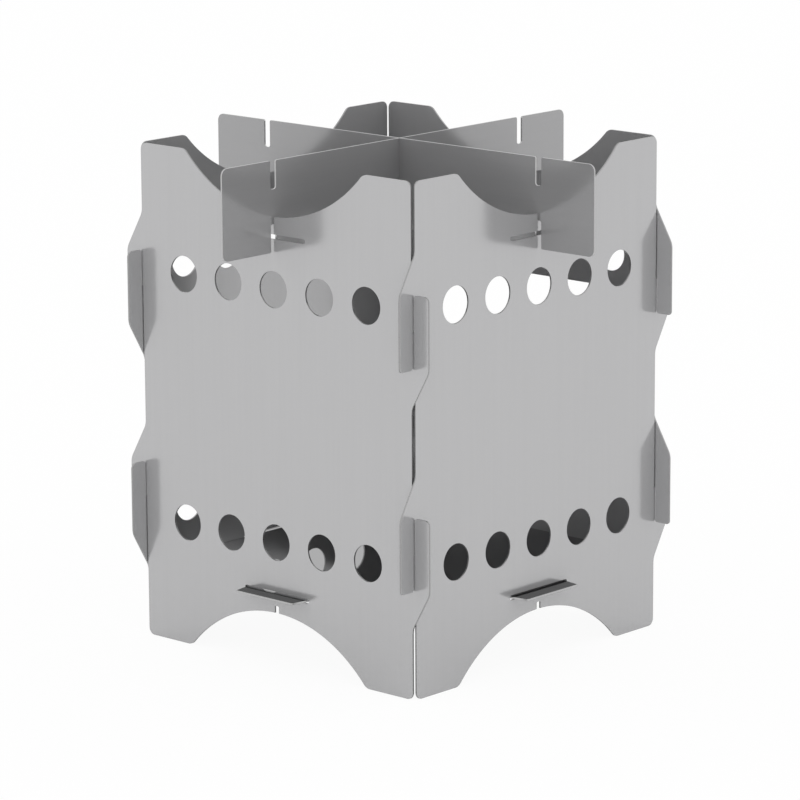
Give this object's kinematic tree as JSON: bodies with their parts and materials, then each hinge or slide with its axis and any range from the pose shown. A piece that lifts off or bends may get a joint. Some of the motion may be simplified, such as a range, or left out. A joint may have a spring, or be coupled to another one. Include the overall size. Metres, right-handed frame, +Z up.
{
  "type": "twig stove",
  "caption": "Square flat-pack wood stove of hooked steel sheets with round air holes, a fire plate on tabs and crossed pot supports.",
  "frame": {"origin": "middle of the square that the four walls stand on, on the ground", "axes": "+Z up; the wall with the feed opening faces +Y; the upper pot support runs along X"},
  "size_m": [0.14, 0.14, 0.1402],
  "materials": {
    "wall_steel": "satin",
    "plate_steel": "satin",
    "support_steel": "satin"
  },
  "bodies": {
    "stove_box": {"wall_front": "wall_steel", "wall_right": "wall_steel", "wall_back": "wall_steel", "wall_left": "wall_steel", "fire_plate": "plate_steel"},
    "lower_support": {"support_lower": "support_steel"},
    "upper_support": {"support_upper": "support_steel"}
  },
  "joints": [
    {"name": "lower_support_lift", "type": "slide", "parent": "stove_box", "child": "lower_support", "axis": [0, 0, 1], "range_m": [0, 0.04]},
    {"name": "upper_support_lift", "type": "slide", "parent": "lower_support", "child": "upper_support", "axis": [0, 0, 1], "range_m": [0, 0.04]}
  ]
}
